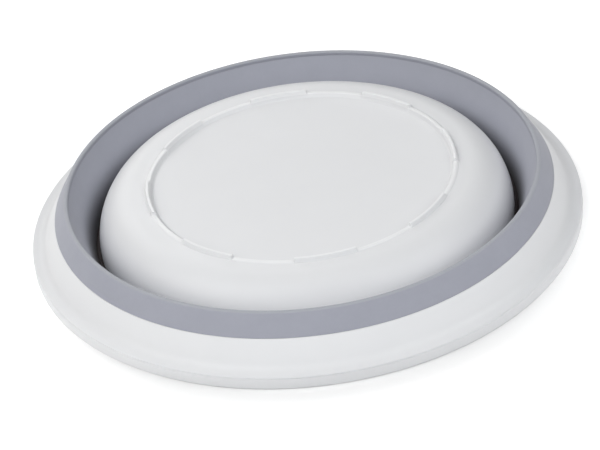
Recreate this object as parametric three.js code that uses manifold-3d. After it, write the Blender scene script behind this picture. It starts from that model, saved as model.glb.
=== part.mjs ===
// Collapsible foot spa basin, folded flat and standing upside down on its rim.
// Millimetres, +Z up. The origin is the centre of the flat rim face that the folded basin stands on.
// Every profile is a list of [radius, height] points, revolved about the Z axis.
import * as THREE from 'three';
import { mergeVertices } from 'three/addons/utils/BufferGeometryUtils.js';
import Module from 'manifold-3d';

const wasm = await Module();
wasm.setup();

// Driving dimensions
const RIM_RADIUS = 210;
const LIP_HEIGHT = 9.4;
const RIM_WALL = 3.4;                   // wall of the skirt and of the soft outer band, along the radius
const WALL_LEAN = 31;                   // degrees between the wall's outer face and the vertical
const FLANGE_CORNER = [201.2, 9.0];     // where the skirt's face and the flange's face would meet
const FLANGE_ROUND = 9;
const FLANGE_TILT = 3;                  // degrees that the flat flange rises outwards
const RIM_FOOT_INNER = 204.5;           // inner edge of the flat face that the rim stands on
const WALL_JOIN = [189.8, 28.3];        // where the hard rim ends and the soft wall starts, outside
const LAP_LENGTH = 7;                   // how far the rim's tongue reaches up behind the soft wall
const LAP_DEPTH = 1.5;                  // thickness of the soft lap outside that tongue
const OUTER_BAND_TOP = 40.6;            // the outer band stops here, below the crest
const CREST_RADIUS = 179.5;             // centre of the rounded fold crest
const CREST_HEIGHT = 42.8;
const CREST_ROUND = 1.8;
const CREST_INNER = 177.7;              // the crest bead's inner face, which the inner band slides past
const INNER_BAND_TOP = 42.0;
const INNER_BAND_FOOT = [161.9, 4.0];
const INNER_BAND_WALL = 2.0;
const BEAD_OUTER = 161.5;
const BEAD_INNER = 153.4;
const BEAD_FOOT = 0.5;
const BEAD_TOP = 5.6;
const DISH_RADIUS = 158.6;
const DISH_EDGE_HEIGHT = 2.2;
const SHOULDER_HEIGHT = 3.5;            // the dish's side is upright below this
const DISH_TOP = 42.4;                  // the base's flat ring, outside the foot ring
const RING_RECESS = 2.2;                // how far the floor inside the foot ring is set down
const DISH_FLAT_RADIUS = 127.5;
const DISH_WALL = 2.6;
const FOOT_RING_RADIUS = 116.6;
const FOOT_RING_WIDTH = 2.4;
const FOOT_RIB_RISE = 0.9;
const FOOT_PAD_RISE = 3.2;
const FOOT_PADS = 8;
const FOOT_PAD_ANGLE = 22.3;            // degrees that one raised pad covers
const FOOT_PAD_FIRST = 4.75;            // degrees from +X to the middle of the first pad
const NUB_RADIUS = 5;
const NUB_RISE = 2.4;
const NUB_SPACING = 23;
const NUB_COLUMNS = 3;                  // on each side, one side for each foot
const NUB_ROWS = 7;
const GAP = 0.3;                        // running and assembly clearance

const SEGMENTS = 72;                    // facets round every ring
const NUB_SEGMENTS = 8;
const ROUND_STEPS = 4;                  // facets in a small rounding
const SHOULDER_STEPS = 7;               // facets in the dish's large shoulder

const hardWhite = new THREE.MeshStandardMaterial({ color: 0xe6e6e8, roughness: 0.42, metalness: 0 });
const softGrey = new THREE.MeshStandardMaterial({ color: 0x9da1ab, roughness: 0.62, metalness: 0 });

const radians = THREE.MathUtils.degToRad;

// Points of an elliptical arc about `centre`, from one angle to another, in degrees from +radius to +height.
function arc(centre, radiusR, radiusZ, from, to, steps) {
  const points = [];
  for (let i = 0; i <= steps; i += 1) {
    const angle = radians(from + ((to - from) * i) / steps);
    points.push([centre[0] + radiusR * Math.cos(angle), centre[1] + radiusZ * Math.sin(angle)]);
  }
  return points;
}

function roundArc(centre, radius, from, to, steps = ROUND_STEPS) {
  return arc(centre, radius, radius, from, to, steps);
}

// Point at `height` on the straight line through two points.
function onLine(a, b, height) {
  const t = (height - a[1]) / (b[1] - a[1]);
  return [a[0] + (b[0] - a[0]) * t, height];
}

// Revolves a closed profile about Z, with its faces pointing out of the material.
function revolve(profile, segments = SEGMENTS) {
  const points = profile.map(([r, z]) => new THREE.Vector2(r, z));
  if (THREE.ShapeUtils.area(points) < 0) points.reverse();
  if (points[0].x > 0 || points[points.length - 1].x > 0) points.push(points[0].clone());
  return new THREE.LatheGeometry(points, segments).rotateX(Math.PI / 2);
}

function toSolid(geometry) {
  const bare = geometry.clone();
  bare.deleteAttribute('normal');
  bare.deleteAttribute('uv');
  const merged = mergeVertices(bare, 1e-4);
  const vertProperties = new Float32Array(merged.attributes.position.array);
  const triVerts = new Uint32Array(merged.index.array);
  return new wasm.Manifold(new wasm.Mesh({ numProp: 3, vertProperties, triVerts }));
}

function toGeometry(solid) {
  const mesh = solid.getMesh();
  const geometry = new THREE.BufferGeometry();
  geometry.setAttribute('position', new THREE.BufferAttribute(new Float32Array(mesh.vertProperties), 3));
  geometry.setIndex(new THREE.BufferAttribute(new Uint32Array(mesh.triVerts), 1));
  geometry.computeVertexNormals();
  return geometry;
}

function named(name, geometry, material) {
  const mesh = new THREE.Mesh(geometry, material);
  mesh.name = name;
  return mesh;
}

// The outer face of the wall leans in from the rim to the fold crest along one straight line.
const crestStart = [
  CREST_RADIUS + CREST_ROUND * Math.cos(radians(WALL_LEAN)),
  CREST_HEIGHT + CREST_ROUND * Math.sin(radians(WALL_LEAN)),
];

// A point at `height`, set in by `depth` from the wall's outer face, measured along the radius.
function wallFace(height, depth) {
  const [r] = onLine(WALL_JOIN, crestStart, height);
  return [r - depth, height];
}

// Hard rim: an upright edge that the basin stands on, a flat flange, and a skirt up to the soft wall.
function rimRing() {
  const edgeRound = 1.2;
  const edgeDraft = 3;                  // degrees that the upright edge leans in
  const lipRound = 0.6;
  const cornerHalf = radians((90 + WALL_LEAN - FLANGE_TILT) / 2);
  const cornerReach = FLANGE_ROUND / Math.sin(cornerHalf);
  const cornerAim = radians(FLANGE_TILT) + cornerHalf;
  const cornerCentre = [
    FLANGE_CORNER[0] + cornerReach * Math.cos(cornerAim),
    FLANGE_CORNER[1] + cornerReach * Math.sin(cornerAim),
  ];
  const lipCentre = [RIM_RADIUS - 0.4 - lipRound, LIP_HEIGHT - lipRound];
  const tongueTop = WALL_JOIN[1] + LAP_LENGTH;
  const insideKnee = [198.4, 10.0];
  const insideFoot = [203.6, 4.6];
  return revolve([
    [RIM_FOOT_INNER + 0.4, 0],
    ...roundArc([RIM_RADIUS - edgeRound, edgeRound], edgeRound, -90, edgeDraft),
    ...roundArc(lipCentre, lipRound, edgeDraft, 90 + FLANGE_TILT),
    ...roundArc(cornerCentre, FLANGE_ROUND, FLANGE_TILT - 90, WALL_LEAN - 180),
    WALL_JOIN,
    [WALL_JOIN[0] - LAP_DEPTH - GAP, WALL_JOIN[1]],
    wallFace(tongueTop, LAP_DEPTH + GAP),
    wallFace(tongueTop, RIM_WALL),
    [WALL_JOIN[0] - RIM_WALL, WALL_JOIN[1]],
    insideKnee,
    insideFoot,
    [RIM_FOOT_INNER, 0.4],
  ]);
}

// Soft wall, outer half: bonded over the rim's tongue and standing up to the fold crest.
function wallOuterBand() {
  const lapFoot = WALL_JOIN[1] + GAP;
  const tongueClear = WALL_JOIN[1] + LAP_LENGTH + GAP;
  return revolve([
    wallFace(lapFoot, LAP_DEPTH),
    wallFace(lapFoot, 0),
    wallFace(OUTER_BAND_TOP, 0),
    wallFace(OUTER_BAND_TOP, RIM_WALL),
    wallFace(tongueClear, RIM_WALL),
    wallFace(tongueClear, LAP_DEPTH),
  ]);
}

// Soft wall, fold crest: the thick bead that the wall folds over.
function wallFoldCrest() {
  const foot = OUTER_BAND_TOP + GAP;
  const innerRound = 1.1;
  return revolve([
    [CREST_INNER, foot],
    wallFace(foot, 0),
    ...roundArc([CREST_RADIUS, CREST_HEIGHT], CREST_ROUND, WALL_LEAN, 120, ROUND_STEPS + 1),
    [CREST_INNER, CREST_HEIGHT + CREST_ROUND - innerRound],
  ]);
}

// Soft wall, inner half: hangs down from the crest to the edge of the base when the basin is folded.
function wallInnerBand() {
  const top = [CREST_INNER - GAP - INNER_BAND_WALL, INNER_BAND_TOP];
  const crown = 0.8;
  const edge = 0.6;
  return revolve([
    INNER_BAND_FOOT,
    [INNER_BAND_FOOT[0] + INNER_BAND_WALL, INNER_BAND_FOOT[1]],
    [top[0] + INNER_BAND_WALL, top[1]],
    [top[0] + INNER_BAND_WALL - edge, top[1] + crown],
    [top[0] + edge, top[1] + crown],
    top,
  ]);
}

// Soft wall, base bead: grips the edge of the base all the way round.
function wallBaseBead() {
  const cornerRound = 1.2;
  const edge = 0.6;
  const slotFoot = DISH_EDGE_HEIGHT - GAP;
  const slotOuter = DISH_RADIUS + GAP;
  const slotInner = DISH_RADIUS - DISH_WALL - 2 * GAP;
  return revolve([
    ...roundArc([BEAD_INNER + cornerRound, BEAD_FOOT + cornerRound], cornerRound, 180, 270),
    ...roundArc([BEAD_OUTER - cornerRound, BEAD_FOOT + cornerRound], cornerRound, 270, 360),
    [BEAD_OUTER, BEAD_TOP - edge],
    [BEAD_OUTER - edge, BEAD_TOP],
    [slotOuter, BEAD_TOP],
    [slotOuter, slotFoot],
    [slotInner, slotFoot],
    [slotInner, BEAD_TOP],
    [BEAD_INNER + edge, BEAD_TOP],
    [BEAD_INNER, BEAD_TOP - edge],
  ]);
}

// One raised pad on the foot ring: an arc of the ring, as a closed bar.
function footPad(middle) {
  const half = radians(FOOT_PAD_ANGLE / 2);
  const start = radians(middle) - half;
  const end = radians(middle) + half;
  const section = new THREE.Shape();
  section.absarc(0, 0, FOOT_RING_RADIUS + FOOT_RING_WIDTH / 2, start, end, false);
  section.absarc(0, 0, FOOT_RING_RADIUS - FOOT_RING_WIDTH / 2, end, start, true);
  const bury = 1.0;
  const settings = { depth: FOOT_PAD_RISE + bury, bevelEnabled: false, curveSegments: 6 };
  return new THREE.ExtrudeGeometry(section, settings).translate(0, 0, DISH_TOP - bury);
}

// One low massage nub, pointing down from the floor that the feet stand on.
function massageNub(x, y, floor) {
  const bury = 0.6;
  const profile = [
    [0, floor + bury],
    [NUB_RADIUS, floor + bury],
    [NUB_RADIUS, floor],
    [NUB_RADIUS * 0.8, floor - NUB_RISE * 0.65],
    [NUB_RADIUS * 0.35, floor - NUB_RISE],
    [0, floor - NUB_RISE],
  ];
  return revolve(profile, NUB_SEGMENTS).translate(x, y, 0);
}

// Hard base: a shallow dish with a wide rounded shoulder, a foot ring outside and nubs inside.
function baseDish() {
  const shoulder = [DISH_FLAT_RADIUS, SHOULDER_HEIGHT];
  const across = DISH_RADIUS - DISH_FLAT_RADIUS;
  const up = DISH_TOP - SHOULDER_HEIGHT;
  const recess = DISH_TOP - RING_RECESS;
  const floor = recess - DISH_WALL;
  const slope = 1.4;                    // width of the slope down to the recess, outside and inside
  const ribOut = FOOT_RING_RADIUS + FOOT_RING_WIDTH / 2;
  const ribIn = FOOT_RING_RADIUS - FOOT_RING_WIDTH / 2;
  let dish = toSolid(revolve([
    [0, floor],
    [ribIn - DISH_WALL - slope, floor],
    [ribIn - DISH_WALL + slope, DISH_TOP - DISH_WALL],
    ...arc(shoulder, across - DISH_WALL, up - DISH_WALL, 90, 0, SHOULDER_STEPS),
    [DISH_RADIUS - DISH_WALL, DISH_EDGE_HEIGHT],
    [DISH_RADIUS, DISH_EDGE_HEIGHT],
    ...arc(shoulder, across, up, 0, 90, SHOULDER_STEPS),
    [ribOut, DISH_TOP],
    [ribOut, DISH_TOP + FOOT_RIB_RISE],
    [ribIn, DISH_TOP + FOOT_RIB_RISE],
    [ribIn - slope, recess],
    [0, recess],
  ]));
  for (let pad = 0; pad < FOOT_PADS; pad += 1) {
    dish = dish.add(toSolid(footPad(FOOT_PAD_FIRST + (pad * 360) / FOOT_PADS)));
  }
  for (const side of [-1, 1]) {
    for (let column = 1; column <= NUB_COLUMNS; column += 1) {
      for (let row = 0; row < NUB_ROWS; row += 1) {
        const x = side * column * NUB_SPACING;
        const y = (row - (NUB_ROWS - 1) / 2) * NUB_SPACING;
        dish = dish.add(toSolid(massageNub(x, y, floor)));
      }
    }
  }
  return toGeometry(dish);
}

const rim = new THREE.Group();
rim.add(named('rim_ring', rimRing(), hardWhite));
rim.add(named('wall_outer_band', wallOuterBand(), softGrey));
rim.add(named('wall_fold_crest', wallFoldCrest(), softGrey));

const foldBand = new THREE.Group();
foldBand.add(named('wall_inner_band', wallInnerBand(), softGrey));

const base = new THREE.Group();
base.add(named('wall_base_bead', wallBaseBead(), softGrey));
base.add(named('base_dish', baseDish(), hardWhite));

const basin = new THREE.Group();
basin.add(rim, foldBand, base);

export default basin;
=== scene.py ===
# Collapsible foot spa basin, folded flat and standing upside down on its rim.
# Every profile is in millimetres, as (radius, height) corners, and is revolved about the Z axis.
import math

import bmesh
import bpy
from mathutils import Matrix, Vector


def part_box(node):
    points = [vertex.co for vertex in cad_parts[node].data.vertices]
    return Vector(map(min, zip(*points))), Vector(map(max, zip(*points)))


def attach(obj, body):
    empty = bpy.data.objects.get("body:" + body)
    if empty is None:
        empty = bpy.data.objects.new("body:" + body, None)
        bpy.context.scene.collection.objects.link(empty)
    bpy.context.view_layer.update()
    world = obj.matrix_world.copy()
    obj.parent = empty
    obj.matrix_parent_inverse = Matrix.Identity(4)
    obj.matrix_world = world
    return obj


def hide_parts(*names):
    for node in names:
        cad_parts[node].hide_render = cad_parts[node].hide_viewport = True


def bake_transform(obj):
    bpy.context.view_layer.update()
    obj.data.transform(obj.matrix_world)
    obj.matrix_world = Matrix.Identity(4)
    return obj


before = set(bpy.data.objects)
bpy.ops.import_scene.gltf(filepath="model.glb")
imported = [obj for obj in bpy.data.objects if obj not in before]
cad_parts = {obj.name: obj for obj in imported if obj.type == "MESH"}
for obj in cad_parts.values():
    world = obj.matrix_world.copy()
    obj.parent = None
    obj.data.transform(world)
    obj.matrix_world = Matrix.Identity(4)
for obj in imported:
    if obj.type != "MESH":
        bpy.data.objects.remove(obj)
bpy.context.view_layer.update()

MM = 0.001


# ---- Measures, read from the frame

def low(node):
    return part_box(node)[0] / MM


def high(node):
    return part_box(node)[1] / MM


RIM_RADIUS = high("rim_ring").x
JOIN_RADIUS = high("wall_outer_band").x     # where the hard rim ends and the soft wall starts
JOIN_HEIGHT = low("wall_outer_band").z
CREST_TOP = high("wall_fold_crest").z
BAND_FOOT = low("wall_inner_band").z
BAND_TOP_RADIUS = high("wall_inner_band").x
BEAD_RADIUS = high("wall_base_bead").x
WALL_LEAN = 0.586                           # the wall leans in by this much for each millimetre up
BEAD_FOOT = low("wall_base_bead").z
DISH_RADIUS = high("base_dish").x
DISH_EDGE = low("base_dish").z
PAD_TOP = high("base_dish").z

EDGE_HEIGHT = 9.4                           # the rim's upright edge
SEAM_HEIGHT = 8.5                           # parting line on the rim's edge
FLANGE_WIDTH = 8.8
FLANGE_HEIGHT = 9.0                         # where the flat flange meets the skirt
SKIRT_WALL = 3.4
TONGUE = 7.0                                # hard tongue that the soft wall laps over
LAP = TONGUE + 0.3                          # soft lap over the tongue, with a gap at its end
CREST_WALL = 3.2
BAND_WALL = 2.2

DISH_WALL = 2.6
DISH_TOP = PAD_TOP - 3.2                    # the shoulder's level, just outside the foot ring
SHOULDER_FOOT = DISH_EDGE + 1.3             # the dish's side is upright below this
FLAT_RADIUS = DISH_RADIUS - 31.1            # where the shoulder starts to curve down
RING_RADIUS = 116.6
RING_RECESS = 2.2                           # how far the floor inside the foot ring is set down
RIB_RISE = 0.9                              # low stretches of the foot ring, above the shoulder
PADS = 8
PAD_ANGLE = 22.3                            # degrees that one raised pad covers
PAD_FIRST = 4.75                            # degrees from +X to the middle of the first pad

SEGMENTS = 288
ON_AXIS = 1e-6                              # points closer to the axis than this are on it


# ---- Profiles

def rounded(corners, closed=True):
    """Turns (radius, height, rounding) corners into a fine outline, with an arc at each rounding."""
    outline = []
    count = len(corners)
    for i, (r, z, rounding) in enumerate(corners):
        here = Vector((r, z))
        if rounding == 0 or (not closed and i in (0, count - 1)):
            outline.append((r, z))
            continue
        to_last = (Vector(corners[i - 1][:2]) - here).normalized()
        to_next = (Vector(corners[(i + 1) % count][:2]) - here).normalized()
        turn = to_last.angle(to_next)
        start = here + to_last * (rounding / math.tan(turn / 2))
        centre = here + (to_last + to_next).normalized() * (rounding / math.sin(turn / 2))
        sweep = math.pi - turn
        steps = max(2, round(math.degrees(sweep) / 9))
        spoke = start - centre
        side = 1 if to_last.cross(to_next) < 0 else -1
        for step in range(steps + 1):
            angle = side * sweep * step / steps
            point = centre + Matrix.Rotation(angle, 2) @ spoke
            outline.append((point.x, point.y))
    return outline


def quarter(centre_r, centre_z, half_r, half_z, start, end, steps):
    """Part of an ellipse as (radius, height) points, from one angle to another in degrees."""
    points = []
    for step in range(steps + 1):
        angle = math.radians(start + (end - start) * step / steps)
        points.append((centre_r + half_r * math.cos(angle), centre_z + half_z * math.sin(angle)))
    return points


def even_angles(count=SEGMENTS):
    return [2 * math.pi * i / count for i in range(count)]


def lathe(name, outline, angles=None, shape=None):
    """Revolves an outline about Z. shape(r, z, angle) may move each point."""
    angles = angles or even_angles()
    vertices = []
    rings = []
    for r, z in outline:
        if r < ON_AXIS:
            rings.append([len(vertices)] * len(angles))
            vertices.append((0, 0, z * MM))
            continue
        ring = []
        for angle in angles:
            radius, height = shape(r, z, angle) if shape else (r, z)
            ring.append(len(vertices))
            x, y = radius * math.cos(angle), radius * math.sin(angle)
            vertices.append((x * MM, y * MM, height * MM))
        rings.append(ring)
    on_axis = outline[0][0] < ON_AXIS
    pairs = list(zip(rings, rings[1:]))
    if not on_axis:
        pairs.append((rings[-1], rings[0]))
    faces = []
    count = len(angles)
    for first, second in pairs:
        for i in range(count):
            j = (i + 1) % count
            face = [first[i], first[j], second[j], second[i]]
            corners = list(dict.fromkeys(face))
            if len(corners) > 2:
                faces.append(corners)
    mesh = bpy.data.meshes.new(name)
    mesh.from_pydata(vertices, [], faces)
    piece = bpy.data.objects.new(name, mesh)
    bpy.context.scene.collection.objects.link(piece)
    face_outwards(mesh)
    smooth(mesh)
    keep_height(mesh)
    return piece


def face_outwards(mesh):
    """Turns a closed mesh's faces to point out of its material."""
    work = bmesh.new()
    work.from_mesh(mesh)
    bmesh.ops.recalc_face_normals(work, faces=work.faces)
    if work.calc_volume(signed=True) < 0:
        bmesh.ops.reverse_faces(work, faces=work.faces)
    work.to_mesh(mesh)
    work.free()


def keep_height(mesh):
    """Stores each point's height, so that a material knows it after the wall turns inside out."""
    stored = mesh.attributes.new("rest_height", "FLOAT", "POINT")
    stored.data.foreach_set("value", [vertex.co.z for vertex in mesh.vertices])


def smooth(mesh, sharp_angle=38):
    mesh.shade_smooth()
    mesh.set_sharp_from_angle(angle=math.radians(sharp_angle))


# ---- Pieces

def rim():
    """Hard rim: an upright edge with a fine parting line, a flat flange, and the skirt."""
    join_top = JOIN_HEIGHT - 0.1
    tongue_top = JOIN_HEIGHT + TONGUE
    tongue_lean = WALL_LEAN * TONGUE
    outline = rounded([
        (RIM_RADIUS, 0, 1.2),
        (RIM_RADIUS - 0.3, SEAM_HEIGHT - 0.4, 0),
        (RIM_RADIUS - 1.0, SEAM_HEIGHT, 0),
        (RIM_RADIUS - 0.45, SEAM_HEIGHT + 0.4, 0),
        (RIM_RADIUS - 0.6, EDGE_HEIGHT, 0.45),
        (RIM_RADIUS - FLANGE_WIDTH, FLANGE_HEIGHT, 9.0),
        (JOIN_RADIUS + 0.1, join_top, 0.15),
        (JOIN_RADIUS - 1.7, join_top, 0),
        (JOIN_RADIUS - 1.7 - tongue_lean, tongue_top, 0.3),
        (JOIN_RADIUS - 3.2 - tongue_lean, tongue_top, 0.3),
        (JOIN_RADIUS - SKIRT_WALL, join_top, 0),
        (RIM_RADIUS - FLANGE_WIDTH - 2.8, FLANGE_HEIGHT + 1.0, 3.0),
        (RIM_RADIUS - 6.4, 4.6, 2.0),
        (RIM_RADIUS - 5.5, 0, 1.0),
    ])
    return lathe("rim", outline)


def soft_crest():
    """Outer half of the soft wall, with the rounded crest that it folds over."""
    rise = CREST_TOP - JOIN_HEIGHT
    crest_outer = JOIN_RADIUS - WALL_LEAN * rise
    crest_inner = crest_outer - CREST_WALL
    lap_top = JOIN_HEIGHT + LAP
    outline = rounded([
        (JOIN_RADIUS, JOIN_HEIGHT, 0.25),
        (crest_outer, CREST_TOP, 2.0),
        (crest_inner, CREST_TOP - 0.2, 1.5),
        (crest_inner - 0.2, CREST_TOP - 3.4, 0.5),
        (crest_inner + 0.9, CREST_TOP - 4.2, 0.5),
        (JOIN_RADIUS - 3.0 - WALL_LEAN * LAP, lap_top, 0.2),
        (JOIN_RADIUS - 1.5 - WALL_LEAN * LAP, lap_top, 0),
        (JOIN_RADIUS - 1.5, JOIN_HEIGHT, 0.2),
    ])
    return lathe("soft_wall_outer", outline)


def soft_band():
    """Inner half of the soft wall. It turns inside out when the base is pushed through the rim."""
    top = CREST_TOP - 1.6
    foot = BAND_FOOT - 1.0
    top_radius = BAND_TOP_RADIUS + 0.1
    foot_radius = BEAD_RADIUS + 0.2
    steps = 30
    inner = []
    for step in range(steps + 1):
        share = step / steps
        radius = foot_radius + (top_radius - foot_radius) * share
        inner.append((radius, foot + (top - foot) * share))
    outer = [(r + BAND_WALL, z) for r, z in reversed(inner)]
    return lathe("soft_wall_inner", inner + outer)


def base_bead():
    """Soft bead that grips the edge of the base and closes the bottom of the groove."""
    inner = DISH_RADIUS - DISH_WALL
    bead_wall = 2.6
    outer = BEAD_RADIUS + BAND_WALL
    outline = rounded([
        (inner - bead_wall, BEAD_FOOT, 1.2),
        (outer, BEAD_FOOT, 1.2),
        (outer, BAND_FOOT, 0.5),
        (BEAD_RADIUS - 0.1, BAND_FOOT - 1.6, 0.3),
        (BEAD_RADIUS - 1.1, BAND_FOOT - 1.8, 0.2),
        (BEAD_RADIUS - 1.3, BAND_FOOT + 0.9, 0.35),
        (DISH_RADIUS + 0.4, BAND_FOOT + 0.9, 0.3),
        (DISH_RADIUS + 0.1, DISH_EDGE - 0.15, 0),
        (inner - 0.1, DISH_EDGE - 0.15, 0),
        (inner - 0.3, BAND_FOOT + 1.6, 0.1),
        (inner - bead_wall, BAND_FOOT + 1.6, 0.8),
    ])
    return lathe("soft_base_bead", outline)


def on_pad(angle):
    """1 on a raised pad, 0 between pads, with a short ramp at each pad's ends."""
    step = 360 / PADS
    away = abs((math.degrees(angle) - PAD_FIRST + step / 2) % step - step / 2)
    ramp = 0.3
    return min(1, max(0, (PAD_ANGLE / 2 - away) / ramp + 0.5))


def pad_angles():
    """Even angles, with more of them close to each pad's ends."""
    angles = set(even_angles())
    for pad in range(PADS):
        for end in (-PAD_ANGLE / 2, PAD_ANGLE / 2):
            middle = PAD_FIRST + pad * 360 / PADS + end
            for offset in (-0.32, -0.15, 0.0, 0.15, 0.32):
                angles.add(math.radians((middle + offset) % 360))
    kept = []
    for angle in sorted(angles):
        if not kept or angle - kept[-1] > 1e-3:
            kept.append(angle)
    return kept


def base_dish():
    """Hard base: a shallow dish with a wide rounded shoulder, a foot ring and nubs for the soles."""
    floor = DISH_TOP - RING_RECESS
    across = DISH_RADIUS - FLAT_RADIUS
    rise = DISH_TOP - SHOULDER_FOOT
    inside = floor - DISH_WALL
    under_ring = rounded([
        (0, inside, 0),
        (RING_RADIUS - 5.0, inside, 1.5),
        (RING_RADIUS - 2.6, inside + RING_RECESS, 1.5),
        (FLAT_RADIUS, inside + RING_RECESS, 0),
    ], closed=False)
    inner = quarter(FLAT_RADIUS, SHOULDER_FOOT, across - DISH_WALL, rise - DISH_WALL, 90, 0, 28)
    edge = [(DISH_RADIUS - DISH_WALL, DISH_EDGE), (DISH_RADIUS, DISH_EDGE)]
    outer = quarter(FLAT_RADIUS, SHOULDER_FOOT, across, rise, 0, 90, 40)
    ring = rounded([
        (FLAT_RADIUS, DISH_TOP, 0),
        (RING_RADIUS + 2.6, DISH_TOP, 1.2),
        (RING_RADIUS + 1.0, DISH_TOP + RIB_RISE, 0.9),
        (RING_RADIUS - 1.2, DISH_TOP + RIB_RISE, 0.9),
        (RING_RADIUS - 3.4, floor, 2.2),
        (0, floor, 0),
    ], closed=False)
    lift = (PAD_TOP - DISH_TOP) / RIB_RISE

    def shape(r, z, angle):
        if z <= DISH_TOP or r > RING_RADIUS + 2:
            return r, z
        return r, DISH_TOP + (z - DISH_TOP) * (1 + (lift - 1) * on_pad(angle))

    section = under_ring[:-1] + inner + edge + outer[:-1] + ring
    dish = lathe("base_dish_shell", section, pad_angles(), shape)
    add_nubs(dish, inside)
    return dish


def add_nubs(dish, inside):
    """Joins low round nubs to the floor that the feet stand on."""
    radius = 5.0
    rise = 2.4
    spacing = 23
    columns, rows = 3, 7                        # on each side of the middle
    profile = [(0, 0.6), (radius + 0.6, 0.6), (radius + 0.6, 0), (radius, -0.12)]
    profile += quarter(0, -0.12, radius * 0.94, rise - 0.12, 0, -90, 8)[1:]
    profile = [(r, inside + z) for r, z in profile[:-1]] + [(0, inside - rise)]
    nubs = []
    for side in (-1, 1):
        for column in range(columns):
            for row in range(rows):
                nub = lathe("nub", profile, even_angles(28))
                x, y = side * (1 + column) * spacing, (row - rows // 2) * spacing
                nub.location = (x * MM, y * MM, 0)
                nubs.append(nub)
    bpy.ops.object.select_all(action="DESELECT")
    for nub in nubs:
        nub.select_set(True)
    bpy.context.view_layer.objects.active = nubs[0]
    bpy.ops.object.join()
    joined = bpy.context.view_layer.objects.active
    union = dish.modifiers.new("nubs", "BOOLEAN")
    union.operation = "UNION"
    union.object = joined
    union.solver = "EXACT"
    bpy.ops.object.select_all(action="DESELECT")
    bpy.context.view_layer.objects.active = dish
    dish.select_set(True)
    bpy.ops.object.modifier_apply(modifier=union.name)
    bpy.data.objects.remove(joined)
    dish.data.attributes.remove(dish.data.attributes["rest_height"])
    smooth(dish.data)
    keep_height(dish.data)


# ---- Materials

WHITE_LOW = (0.715, 0.720, 0.733)
WHITE_HIGH = (0.735, 0.740, 0.753)
# painted highlight: paler white for the base's foot ring and pads
WHITE_PAINTED_HIGHLIGHT = (0.795, 0.80, 0.81)
GREY_LOW = (0.290, 0.299, 0.347)
GREY_HIGH = (0.346, 0.354, 0.408)
# painted highlight: paler grey along the crest top
GREY_PAINTED_HIGHLIGHT = (0.357, 0.368, 0.405)
# painted light: the fold's grey is a lighter copy of the wall grey
FOLD_PAINTED_LIGHT_LOW = (0.340, 0.350, 0.404)
FOLD_PAINTED_LIGHT_HIGH = (0.400, 0.410, 0.468)
# painted shade: near-black colour deep in the fold
FOLD_PAINTED_SHADE = (0.085, 0.082, 0.092)
PAINTED_SHADE_DEPTH = 19                             # how far the painted shade reaches up the fold
# painted shade: the bead is near-black to stand for the deep groove's shade
BEAD_PAINTED_SHADE_LOW = (0.040, 0.026, 0.028)
BEAD_PAINTED_SHADE_HIGH = (0.052, 0.034, 0.036)


class Nodes:
    """Short calls for building one material's node tree."""

    def __init__(self, name):
        self.material = bpy.data.materials.new(name)
        self.material.use_nodes = True
        self.tree = self.material.node_tree
        self.shader = self.tree.nodes["Principled BSDF"]
        self.place = self.add("ShaderNodeTexCoord").outputs["Object"]

    def add(self, kind, **settings):
        node = self.tree.nodes.new(kind)
        for key, value in settings.items():
            if key in node.inputs:
                node.inputs[key].default_value = value
            else:
                setattr(node, key, value)
        return node

    def link(self, source, target):
        self.tree.links.new(source, target)

    def noise(self, grain_mm, detail=2.0, roughness=0.5):
        """Noise whose grain is about grain_mm across."""
        scale = 1 / (grain_mm * MM)
        node = self.add("ShaderNodeTexNoise", Scale=scale, Detail=detail, Roughness=roughness)
        self.link(self.place, node.inputs["Vector"])
        return node.outputs["Fac"]

    def spread(self, source, start, end, source_start=0, source_end=1):
        """Stretches a value from its own range over start to end."""
        node = self.add("ShaderNodeMapRange")
        node.inputs["From Min"].default_value = source_start
        node.inputs["From Max"].default_value = source_end
        node.inputs["To Min"].default_value = start
        node.inputs["To Max"].default_value = end
        self.link(source, node.inputs["Value"])
        return node.outputs["Result"]

    def height(self, start_mm, end_mm):
        """Goes smoothly from 0 to 1 between two heights in the piece's own rest shape."""
        stored = self.add("ShaderNodeAttribute", attribute_name="rest_height")
        node = self.add("ShaderNodeMapRange", interpolation_type="SMOOTHSTEP")
        node.inputs["From Min"].default_value = start_mm * MM
        node.inputs["From Max"].default_value = end_mm * MM
        self.link(stored.outputs["Fac"], node.inputs["Value"])
        return node.outputs["Result"]

    def tint(self, factor, dark, light):
        node = self.add("ShaderNodeMix", data_type="RGBA")
        colours = [socket for socket in node.inputs if socket.type == "RGBA"]
        for socket, colour in zip(colours, (dark, light)):
            if isinstance(colour, tuple):
                socket.default_value = (*colour, 1)
            else:
                self.link(colour, socket)
        self.link(factor, node.inputs[0])
        return [socket for socket in node.outputs if socket.type == "RGBA"][0]

    def bump(self, height, depth_mm, normal=None):
        node = self.add("ShaderNodeBump", Strength=1.0, Distance=depth_mm * MM)
        self.link(height, node.inputs["Height"])
        if normal:
            self.link(normal, node.inputs["Normal"])
        return node.outputs["Normal"]


def hard_plastic(name, dark, light, roughness, grain_depth, painted_highlight_above=None):
    """Satin white moulded plastic with a fine grain. Above one height, if given, it turns paler as a
    painted highlight.
    """
    nodes = Nodes(name)
    colour = nodes.tint(nodes.noise(38, 3), dark, light)
    if painted_highlight_above:
        # painted highlight: the colour turns paler above the given height
        painted_highlight = nodes.height(painted_highlight_above, painted_highlight_above + 0.5)
        colour = nodes.tint(painted_highlight, colour, WHITE_PAINTED_HIGHLIGHT)
    nodes.link(colour, nodes.shader.inputs["Base Color"])
    nodes.link(nodes.spread(nodes.noise(9, 3), roughness - 0.05, roughness + 0.05),
               nodes.shader.inputs["Roughness"])
    waves = nodes.bump(nodes.noise(30, 1), 0.05)
    grain = nodes.bump(nodes.noise(0.7, 2), grain_depth, waves)
    nodes.link(grain, nodes.shader.inputs["Normal"])
    nodes.shader.inputs["IOR"].default_value = 1.49
    nodes.shader.inputs["Specular IOR Level"].default_value = 0.4
    return nodes.material


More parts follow.
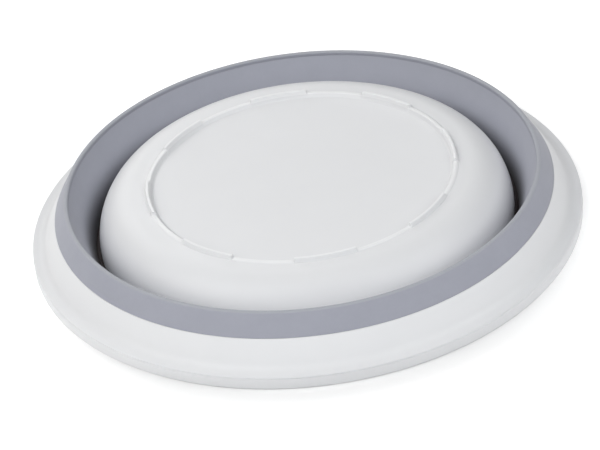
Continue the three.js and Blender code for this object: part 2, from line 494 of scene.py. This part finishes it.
def soft_rubber(name, dark, light, roughness, painted_shade=None):
    """Matt blue-grey soft plastic, paler on the crest as a painted highlight. Given a painted shade
    colour, it darkens to it deep in the fold.
    """
    nodes = Nodes(name)
    colour = nodes.tint(nodes.noise(26, 8, 0.8), dark, light)
    # painted highlight: the crest top turns paler grey
    colour = nodes.tint(nodes.height(CREST_TOP - 1.3, CREST_TOP - 0.2), colour, GREY_PAINTED_HIGHLIGHT)
    # painted shade: the colour darkens towards the fold's root
    if painted_shade:
        above_painted_shade = nodes.height(BAND_FOOT - 1, BAND_FOOT + PAINTED_SHADE_DEPTH)
        colour = nodes.tint(above_painted_shade, painted_shade, colour)
    nodes.link(colour, nodes.shader.inputs["Base Color"])
    nodes.link(nodes.spread(nodes.noise(6, 3), roughness - 0.06, roughness + 0.06),
               nodes.shader.inputs["Roughness"])
    flow = nodes.bump(nodes.noise(22, 2), 0.10)
    grain = nodes.bump(nodes.noise(0.9, 3), 0.03, flow)
    nodes.link(grain, nodes.shader.inputs["Normal"])
    nodes.shader.inputs["Specular IOR Level"].default_value = 0.35
    nodes.shader.inputs["Sheen Weight"].default_value = 0.15
    nodes.shader.inputs["Sheen Roughness"].default_value = 0.5
    return nodes.material


def product(nodes, first, second):
    node = nodes.add("ShaderNodeMath", operation="MULTIPLY")
    for value, socket in zip((first, second), node.inputs):
        if isinstance(value, float):
            socket.default_value = value
        else:
            nodes.link(value, socket)
    return node.outputs["Value"]


def floor_material():
    """White paper that glows to pure white far away, tinted like a soft shadow before the rim."""
    rim_edge = RIM_RADIUS * MM
    paper_white = 0.93
    shadow_reach = 1.16
    shadow_light = 0.69                     # what is left of the light right at the rim
    near_glow, far_glow = 0.27, 1.0
    nodes = Nodes("studio_floor")
    nodes.shader.inputs["Roughness"].default_value = 1.0
    nodes.shader.inputs["Specular IOR Level"].default_value = 0.0
    nodes.shader.inputs["Emission Color"].default_value = (1, 1, 1, 1)
    away = nodes.add("ShaderNodeVectorMath", operation="LENGTH")
    nodes.link(nodes.place, away.inputs[0])
    distance = away.outputs["Value"]
    parts = nodes.add("ShaderNodeSeparateXYZ")
    nodes.link(nodes.place, parts.inputs["Vector"])
    near = nodes.spread(distance, 1, 0, rim_edge, shadow_reach * rim_edge)
    front = nodes.spread(parts.outputs["Y"], 1, 0, -0.9 * rim_edge, -0.3 * rim_edge)
    light = nodes.spread(product(nodes, near, front), 1, shadow_light)
    nodes.link(product(nodes, light, paper_white), nodes.shader.inputs["Base Color"])
    glow = nodes.spread(distance, near_glow, far_glow, 2.4 * rim_edge, 6 * rim_edge)
    nodes.link(product(nodes, glow, light), nodes.shader.inputs["Emission Strength"])
    return nodes.material


def dress(piece, material, slot, *nodes):
    piece.data.materials.clear()
    piece.data.materials.append(material)
    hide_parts(*nodes)


# ---- Build

white = hard_plastic("white_plastic", WHITE_LOW, WHITE_HIGH, 0.46, 0.012)
# the base's white carries a painted highlight on its foot ring and pads
white_base = hard_plastic("white_base_plastic", WHITE_LOW, WHITE_HIGH, 0.42, 0.012, DISH_TOP + 0.1)
grey = soft_rubber("grey_soft_wall", GREY_LOW, GREY_HIGH, 0.6)
# the fold's grey: painted light from its lighter tone, painted shade near its root
grey_fold_painted_light_and_shade = soft_rubber("grey_soft_fold_painted_light_and_shade", FOLD_PAINTED_LIGHT_LOW, FOLD_PAINTED_LIGHT_HIGH, 0.6, FOLD_PAINTED_SHADE)
# the bead's near-black colour is painted shade of the groove
bead_painted_shade = soft_rubber("soft_bead_painted_shade", BEAD_PAINTED_SHADE_LOW, BEAD_PAINTED_SHADE_HIGH, 0.6)

rim_piece = rim()
dress(rim_piece, white, "hard_plastic", "rim_ring")
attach(rim_piece, "rim")

crest_piece = soft_crest()
dress(crest_piece, grey, "soft_wall", "wall_outer_band", "wall_fold_crest")
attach(crest_piece, "rim")

band_piece = soft_band()
dress(band_piece, grey_fold_painted_light_and_shade, "soft_wall", "wall_inner_band")
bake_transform(band_piece)

bead_piece = base_bead()
dress(bead_piece, bead_painted_shade, "soft_wall", "wall_base_bead")
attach(bead_piece, "base")

dish_piece = base_dish()
dress(dish_piece, white_base, "hard_plastic", "base_dish")
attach(dish_piece, "base")


# ---- Studio

def studio_floor():
    size = RIM_RADIUS * MM * 30
    mesh = bpy.data.meshes.new("studio_floor")
    corners = [(-size, -size, 0), (size, -size, 0), (size, size, 0), (-size, size, 0)]
    mesh.from_pydata(corners, [], [(0, 1, 2, 3)])
    floor = bpy.data.objects.new("studio_floor", mesh)
    gap_below = 0.3
    floor.location.z = -gap_below * MM
    bpy.context.scene.collection.objects.link(floor)
    mesh.materials.append(floor_material())


def soft_light(name, azimuth, elevation, power, colour=(1, 1, 1)):
    """A square soft light from an azimuth (0 is +Y, 90 is +X) and an elevation in degrees."""
    distance = 2.2
    light = bpy.data.lights.new(name, "AREA")
    light.size = 1.6
    light.energy = power
    light.color = colour
    lamp = bpy.data.objects.new(name, light)
    bpy.context.scene.collection.objects.link(lamp)
    tilt = math.radians(elevation)
    turn = math.radians(azimuth)
    across = math.cos(tilt)
    towards = Vector((math.sin(turn) * across, math.cos(turn) * across, math.sin(tilt)))
    lamp.location = towards * distance
    lamp.rotation_euler = towards.to_track_quat("Z", "Y").to_euler()


def studio_world(strength):
    """White where the camera sees past the floor, and a faint fill light everywhere else."""
    world = bpy.data.worlds.new("studio")
    world.use_nodes = True
    tree = world.node_tree
    background = tree.nodes["Background"]
    background.inputs["Color"].default_value = (1, 1, 1, 1)
    seen = tree.nodes.new("ShaderNodeLightPath").outputs["Is Camera Ray"]
    level = tree.nodes.new("ShaderNodeMapRange")
    level.inputs["To Min"].default_value = strength
    level.inputs["To Max"].default_value = 1.0
    tree.links.new(seen, level.inputs["Value"])
    tree.links.new(level.outputs["Result"], background.inputs["Strength"])
    bpy.context.scene.world = world


def camera():
    """Looks down at the front, rolled a little, from well back."""
    radius = RIM_RADIUS * MM
    elevation = math.radians(33.6)
    roll = math.radians(-7.48)
    distance = 8.754 * radius
    aim = Vector((-0.0275, -0.030, 0)) * radius
    away = Vector((0, -math.cos(elevation), math.sin(elevation)))
    data = bpy.data.cameras.new("camera")
    data.sensor_width = 36
    data.lens = 144.8
    data.clip_end = 100
    eye = bpy.data.objects.new("camera", data)
    bpy.context.scene.collection.objects.link(eye)
    turn = away.to_track_quat("Z", "Y").to_matrix() @ Matrix.Rotation(roll, 3, "Z")
    eye.matrix_world = Matrix.Translation(aim + away * distance) @ turn.to_4x4()
    bpy.context.scene.camera = eye


studio_floor()
studio_world(0.02)
soft_light("key", 228, 56, 18.5, (0.95, 0.98, 1.0))
soft_light("left", 255, 38, 18, (1.0, 0.965, 0.925))
soft_light("front", 180, 30, 7, (0.94, 0.97, 1.0))
soft_light("right", 112, 44, 26)
soft_light("back", 338, 28, 17)
camera()
bpy.context.scene.view_settings.view_transform = "Standard"
